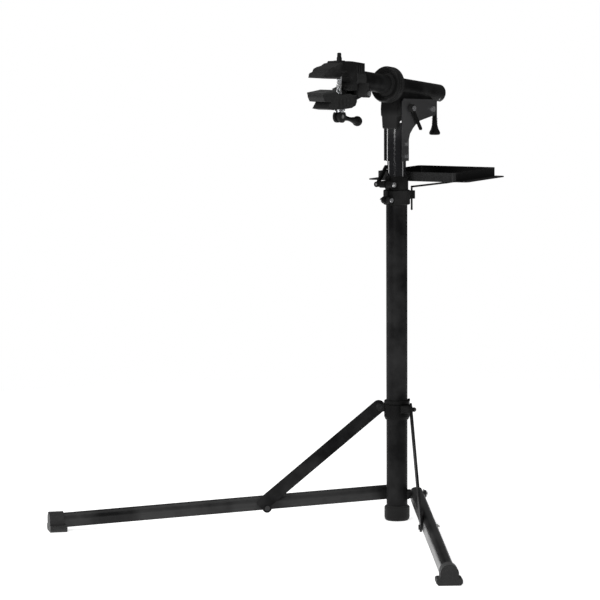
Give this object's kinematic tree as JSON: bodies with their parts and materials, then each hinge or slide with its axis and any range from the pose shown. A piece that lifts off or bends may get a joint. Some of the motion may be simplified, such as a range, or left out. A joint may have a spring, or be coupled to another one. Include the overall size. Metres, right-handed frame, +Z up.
{
  "type": "bicycle repair stand",
  "caption": "Folding workshop stand with splayed legs, a telescopic mast, a tool tray and a tilting, rotating clamp head that grips a bicycle tube.",
  "frame": {"origin": "centre of the mast's foot, on the floor", "axes": "+Z up along the mast, +X to the front where the legs and the clamp reach out, +Y to the stand's left; the legs splay evenly about the X-Z plane"},
  "size_m": [0.918, 1.1784, 1.111],
  "materials": {
    "powder_black": "satin black powder coat",
    "gloss_black": "glossy black lacquer",
    "leg_black": "semi-gloss black powder coat",
    "cast_black": "fine-grained black coating",
    "plastic_black": "fine moulded grain",
    "tray_black": "low-sheen moulded plastic",
    "rubber_black": "matte rubber",
    "zinc": "bright zinc plating",
    "chromed": "polished",
    "dark_steel": "blackened steel",
    "nylon": "natural nylon",
    "bronze": "bronze nut"
  },
  "bodies": {
    "mast": {"mast_tube": "powder_black", "foot_cap": "rubber_black", "leg_lugs": "powder_black", "leg_hinge_bolts": "zinc", "leg_hinge_nuts": "dark_steel", "tray_collar": "cast_black", "tray_collar_bolt": "zinc", "height_collar": "cast_black", "height_skewer": "zinc"},
    "right_leg": {"leg_tube_right": "leg_black", "leg_bush_right": "nylon", "boot_right": "rubber_black", "dome_nut_right": "chromed"},
    "left_leg": {"leg_tube_left": "leg_black", "leg_bush_left": "nylon", "boot_left": "rubber_black", "dome_nut_left": "chromed"},
    "slider": {"slider_collar": "cast_black", "strut_pivot_bolts": "dark_steel"},
    "right_strut": {"strut_right": "powder_black", "strut_bolt_right": "zinc"},
    "left_strut": {"strut_left": "powder_black", "strut_bolt_left": "zinc"},
    "height_cam": {"height_lever": "cast_black"},
    "guide": {"guide_bush": "nylon"},
    "upper": {"inner_tube": "gloss_black", "head_bracket": "gloss_black", "bracket_bolts": "zinc", "head_pivot_bolt": "zinc", "lock_bolt": "zinc", "pivot_spacers": "zinc"},
    "head_lock": {"lock_lever": "cast_black"},
    "head": {"head_tube": "powder_black", "head_cheeks": "powder_black", "neck_casting": "cast_black", "shaft_bushes": "nylon", "head_end_cap": "plastic_black", "handle_pin": "zinc"},
    "cam_handle": {"rotation_handle": "plastic_black"},
    "clamp": {"clutch_disc": "plastic_black", "neck_tube": "powder_black", "clamp_shaft": "zinc", "clamp_body": "plastic_black", "upper_jaw_pad": "rubber_black", "jaw_pin": "zinc", "screw_nut": "bronze"},
    "jaw": {"lower_jaw": "plastic_black", "lower_jaw_pad": "rubber_black"},
    "thrust": {"thrust_washer": "zinc"},
    "screw": {"clamp_screw": "zinc", "crank_hub": "cast_black", "crank_rivet": "zinc"},
    "crank": {"crank_lever": "plastic_black"},
    "tray": {"tray_pan": "tray_black", "tray_wire": "powder_black"}
  },
  "joints": [
    {"name": "right_leg_fold", "type": "hinge", "parent": "mast", "child": "right_leg", "pos_m": [-0.03053, 0.03639, 0.0615], "axis": [0.6428, -0.766, 0], "range_deg": [0, 86]},
    {"name": "left_leg_fold", "type": "hinge", "parent": "mast", "child": "left_leg", "pos_m": [-0.03053, -0.03639, 0.0615], "axis": [-0.6428, -0.766, 0], "range_deg": [0, 86]},
    {"name": "slider_slide", "type": "slide", "parent": "mast", "child": "slider", "axis": [0, 0, 1], "range_m": [0, 0.46]},
    {"name": "right_strut_turn", "type": "hinge", "parent": "slider", "child": "right_strut", "pos_m": [0.00912, 0.04669, 0.268], "axis": [0.6428, -0.766, 0], "range_deg": [-50, 0]},
    {"name": "left_strut_turn", "type": "hinge", "parent": "slider", "child": "left_strut", "pos_m": [0.00912, -0.04669, 0.268], "axis": [-0.6428, -0.766, 0], "range_deg": [-50, 0]},
    {"name": "height_slide", "type": "slide", "parent": "mast", "child": "guide", "axis": [0, 0, 1], "range_m": [0, 0.5]},
    {"name": "mast_swivel", "type": "hinge", "parent": "guide", "child": "upper", "pos_m": [0, 0, 0.8], "axis": [0, 0, 1], "range_deg": [-180, 180]},
    {"name": "height_lever_open", "type": "hinge", "parent": "mast", "child": "height_cam", "pos_m": [0.03925, -0.026, 0.7985], "axis": [1, 0, 0], "range_deg": [0, 55]},
    {"name": "tray_swivel", "type": "hinge", "parent": "mast", "child": "tray", "pos_m": [-0.061, 0, 0.77], "axis": [0, 0, 1], "range_deg": [-20, 0]},
    {"name": "head_fold", "type": "hinge", "parent": "upper", "child": "head", "pos_m": [-0.11, 0, 0.97], "axis": [0, -1, 0], "range_deg": [0, 80]},
    {"name": "lock_lever_turn", "type": "hinge", "parent": "upper", "child": "head_lock", "pos_m": [-0.018, 0, 0.9755], "axis": [0, 1, 0], "range_deg": [-30, 60]},
    {"name": "handle_swing", "type": "hinge", "parent": "head", "child": "cam_handle", "pos_m": [-0.15581, 0, 0.99237], "axis": [0, 1, 0], "range_deg": [0, 85]},
    {"name": "clamp_spin", "type": "hinge", "parent": "head", "child": "clamp", "pos_m": [0, 0, 1.027], "axis": [0.9914, 0, 0.1305], "continuous": true},
    {"name": "jaw_pivot", "type": "hinge", "parent": "clamp", "child": "jaw", "pos_m": [0.145, 0, 1.0155], "axis": [0, -1, 0], "range_deg": [-5, 5]},
    {"name": "screw_slide", "type": "slide", "parent": "clamp", "child": "thrust", "axis": [0, 0, 1], "range_m": [-0.006, 0.006]},
    {"name": "screw_turn", "type": "hinge", "parent": "thrust", "child": "screw", "pos_m": [0.225, 0, 1], "axis": [0, 0, 1], "range_deg": [-550, 550]},
    {"name": "crank_fold", "type": "hinge", "parent": "screw", "child": "crank", "pos_m": [0.225, 0, 0.9652], "axis": [0, -1, 0], "range_deg": [0, 75]}
  ],
  "couplings": [
    {"joint": "left_leg_fold", "follows": "right_leg_fold", "ratio": 1},
    {"joint": "slider_slide", "follows": "right_leg_fold", "m_per_rad": 0.30487},
    {"joint": "right_strut_turn", "follows": "right_leg_fold", "ratio": -0.55578},
    {"joint": "left_strut_turn", "follows": "right_leg_fold", "ratio": -0.55578},
    {"joint": "screw_turn", "follows": "screw_slide", "rad_per_m": 1570.8},
    {"joint": "jaw_pivot", "follows": "screw_slide", "rad_per_m": 12.5}
  ]
}
